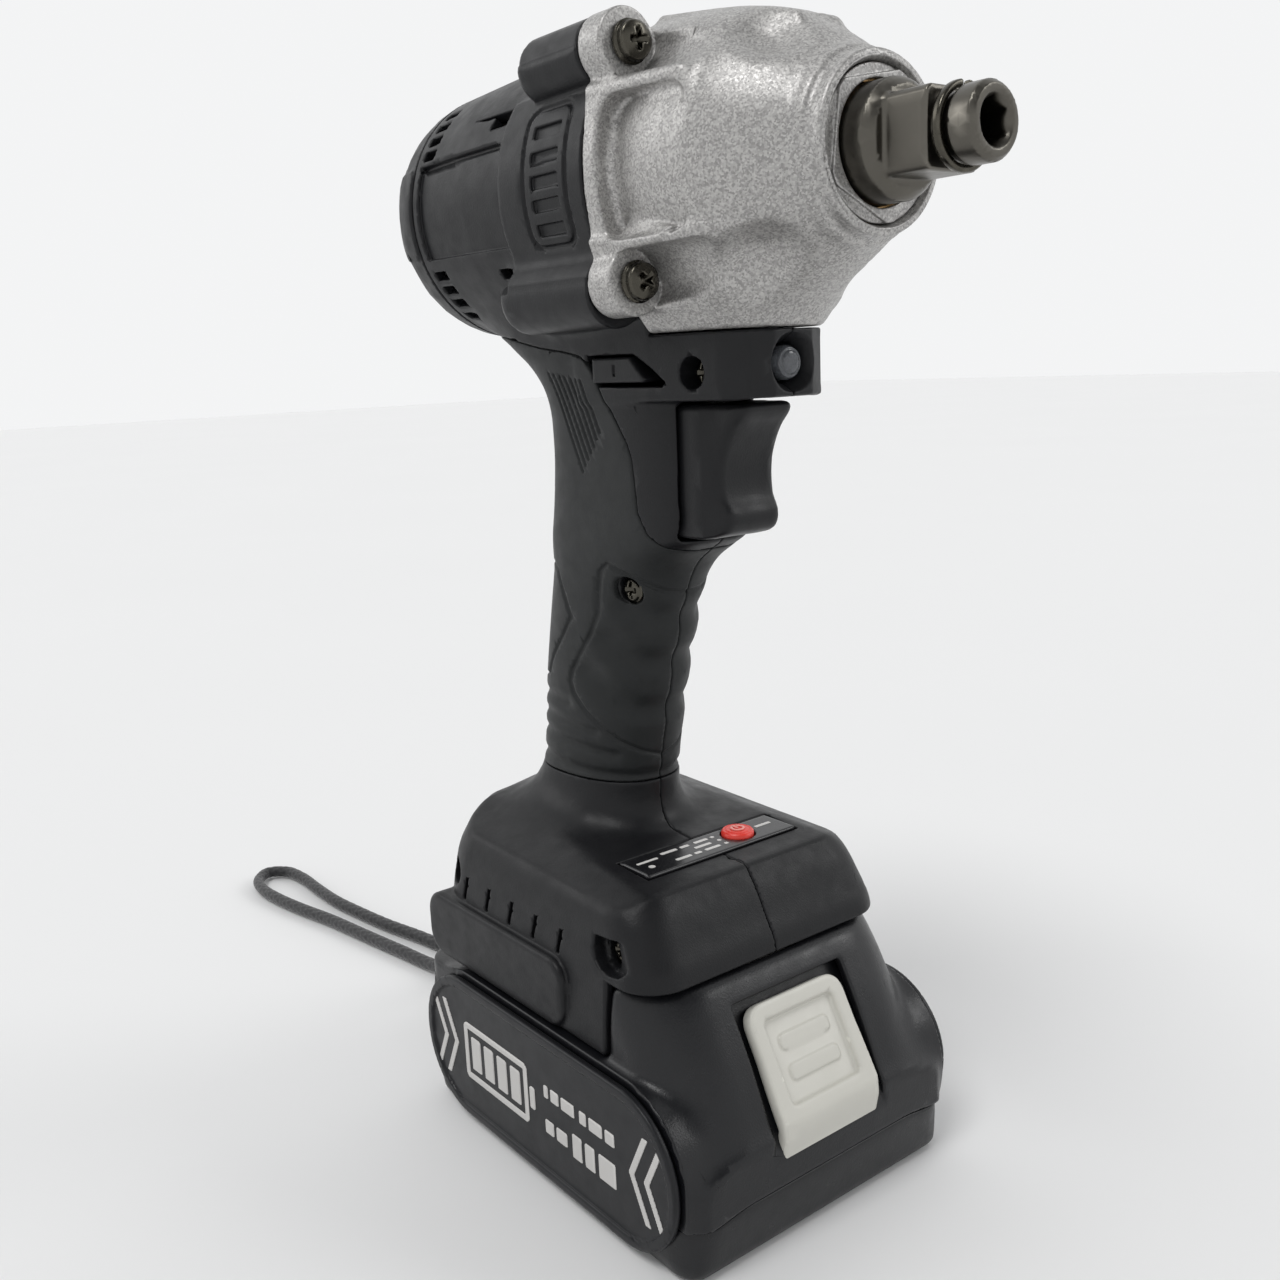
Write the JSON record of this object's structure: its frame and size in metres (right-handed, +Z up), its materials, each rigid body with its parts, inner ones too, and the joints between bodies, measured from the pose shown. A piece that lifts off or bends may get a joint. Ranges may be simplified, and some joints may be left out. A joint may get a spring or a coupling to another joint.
{
  "type": "cordless impact wrench",
  "caption": "Cordless pistol-grip impact wrench with a square drive on a rounded metal hammer case, a slide-on battery pack and a wrist strap.",
  "frame": {"origin": "battery's resting face, on the mid-plane, below the grip; the drive axis is 210 mm above it", "axes": "+X forward along the drive axis, +Y to the tool's left, +Z up"},
  "size_m": [0.3026, 0.0792, 0.2387],
  "materials": {
    "housing_plastic": "fine spark-eroded texture, satin black",
    "rubber": "matt black overmould",
    "silver_paint": "silver paint with metal flake on die-cast alloy",
    "cast_alloy": "as cast",
    "dark_steel": "machined and phosphated",
    "black_steel": "black oxide",
    "bright_steel": "ground",
    "bronze": "sintered bronze",
    "magnet": "coated, or stacked sheets",
    "clear_lens": "clear polycarbonate",
    "red_plastic": "moulded red",
    "white_plastic": "off-white, satin",
    "laminate": "smooth black",
    "circuit_board": "green solder mask",
    "cell_wrap": "blue shrink wrap",
    "cord_fabric": "braided black cord"
  },
  "bodies": {
    "tool": {"right_housing": "housing_plastic", "left_housing": "housing_plastic", "housing_screw_1": "black_steel", "housing_screw_2": "black_steel", "housing_screw_3": "black_steel", "housing_screw_4": "black_steel", "rear_cap": "housing_plastic", "hammer_case": "silver_paint", "case_screw_1": "black_steel", "case_screw_2": "black_steel", "case_screw_3": "black_steel", "case_screw_4": "black_steel", "anvil_bushing": "bronze", "nose_seal": "rubber", "thrust_washer": "bright_steel", "ring_gear": "dark_steel", "gearbox_plate": "cast_alloy", "front_bearing": "bright_steel", "rear_bearing": "bright_steel", "stator": "magnet", "lamp_lens": "clear_lens", "switch_body": "laminate", "control_panel": "laminate", "control_board": "circuit_board", "terminal_block": "laminate", "strap_anchor": "housing_plastic", "wrist_strap": "cord_fabric"},
    "carrier": {"camshaft": "bright_steel", "planet_pin_1": "bright_steel", "planet_pin_2": "bright_steel", "hammer_ball_1": "bright_steel", "hammer_ball_2": "bright_steel", "hammer_spring": "black_steel"},
    "hammer": {"hammer": "dark_steel"},
    "anvil": {"anvil": "dark_steel", "friction_ring": "bright_steel"},
    "planet_1": {"planet_gear_1": "bright_steel"},
    "planet_2": {"planet_gear_2": "bright_steel"},
    "rotor": {"rotor_shaft": "bright_steel", "rotor_magnet": "magnet", "cooling_fan": "housing_plastic"},
    "trigger": {"trigger": "housing_plastic"},
    "direction_lever": {"direction_lever": "housing_plastic"},
    "mode_button": {"mode_button": "red_plastic"},
    "battery": {"battery_upper_case": "housing_plastic", "battery_lower_case": "housing_plastic", "battery_plate_right": "rubber", "battery_plate_left": "rubber", "battery_cell_1": "cell_wrap", "battery_cell_2": "cell_wrap", "battery_cell_3": "cell_wrap", "battery_cell_4": "cell_wrap", "battery_cell_5": "cell_wrap", "battery_board": "circuit_board", "release_spring": "bright_steel"},
    "release_button": {"release_button": "white_plastic"}
  },
  "joints": [
    {"name": "carrier_spin", "type": "hinge", "parent": "tool", "child": "carrier", "pos_m": [0, 0, 0.21], "axis": [1, 0, 0], "continuous": true},
    {"name": "anvil_spin", "type": "hinge", "parent": "tool", "child": "anvil", "pos_m": [0.08, 0, 0.21], "axis": [1, 0, 0], "continuous": true},
    {"name": "rotor_spin", "type": "hinge", "parent": "tool", "child": "rotor", "pos_m": [-0.03, 0, 0.21], "axis": [1, 0, 0], "continuous": true},
    {"name": "planet_1_spin", "type": "hinge", "parent": "carrier", "child": "planet_1", "pos_m": [-0.0038, -0.01148, 0.21], "axis": [1, 0, 0], "continuous": true},
    {"name": "planet_2_spin", "type": "hinge", "parent": "carrier", "child": "planet_2", "pos_m": [-0.0038, 0.01148, 0.21], "axis": [1, 0, 0], "continuous": true},
    {"name": "hammer_slide", "type": "slide", "parent": "carrier", "child": "hammer", "axis": [1, 0, 0], "range_m": [-0.008, 0], "stiffness_N_per_m": 6000, "springref_m": 0.004, "deforming": ["hammer_spring"]},
    {"name": "trigger_slide", "type": "slide", "parent": "tool", "child": "trigger", "axis": [-1, 0, 0], "range_m": [0, 0.006], "stiffness_N_per_m": 700, "springref_m": -0.003},
    {"name": "lever_slide", "type": "slide", "parent": "tool", "child": "direction_lever", "axis": [0, 1, 0], "range_m": [-0.003, 0.003]},
    {"name": "mode_button_press", "type": "slide", "parent": "tool", "child": "mode_button", "axis": [0, 0, -1], "range_m": [0, 0.0008], "stiffness_N_per_m": 1500, "springref_m": -0.0005},
    {"name": "battery_slide", "type": "slide", "parent": "tool", "child": "battery", "axis": [1, 0, 0], "range_m": [0, 0.1]},
    {"name": "release_press", "type": "slide", "parent": "battery", "child": "release_button", "axis": [0.489, 0, -0.8723], "range_m": [0, 0.004], "stiffness_N_per_m": 1200, "springref_m": -0.003, "deforming": ["release_spring"]}
  ],
  "couplings": [
    {"joint": "anvil_spin", "follows": "carrier_spin", "ratio": 1},
    {"joint": "rotor_spin", "follows": "carrier_spin", "ratio": 4.5},
    {"joint": "planet_1_spin", "follows": "carrier_spin", "ratio": -2.8},
    {"joint": "planet_2_spin", "follows": "carrier_spin", "ratio": -2.8}
  ]
}
